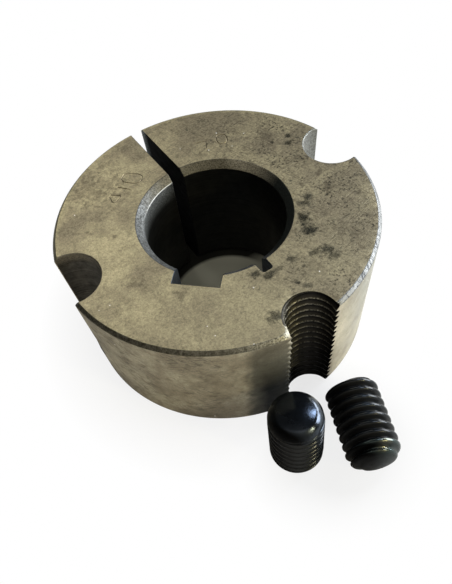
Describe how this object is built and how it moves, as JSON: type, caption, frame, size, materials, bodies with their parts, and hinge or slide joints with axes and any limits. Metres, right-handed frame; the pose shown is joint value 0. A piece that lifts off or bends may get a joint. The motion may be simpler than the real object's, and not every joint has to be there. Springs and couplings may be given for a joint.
{
  "type": "taper bush",
  "caption": "Split taper bush with keyed bore and screw half-holes, for clamping a pulley, sprocket or coupling hub onto a shaft; its two socket set screws lie beside it.",
  "frame": {"origin": "bore axis on the small end face, which is the face the bush stands on", "axes": "+Z along the bore axis up to the large end; +Y through the saw cut; the threaded half-hole is at -Y"},
  "size_m": [0.0567, 0.0749, 0.0254],
  "materials": {
    "bush_iron": "turned and oily, brown-grey",
    "black_screw": "black oxide, oily gloss"
  },
  "bodies": {
    "root": {"tapered_bush": "bush_iron", "set_screw_standing": "black_screw", "set_screw_lying": "black_screw"}
  },
  "joints": []
}
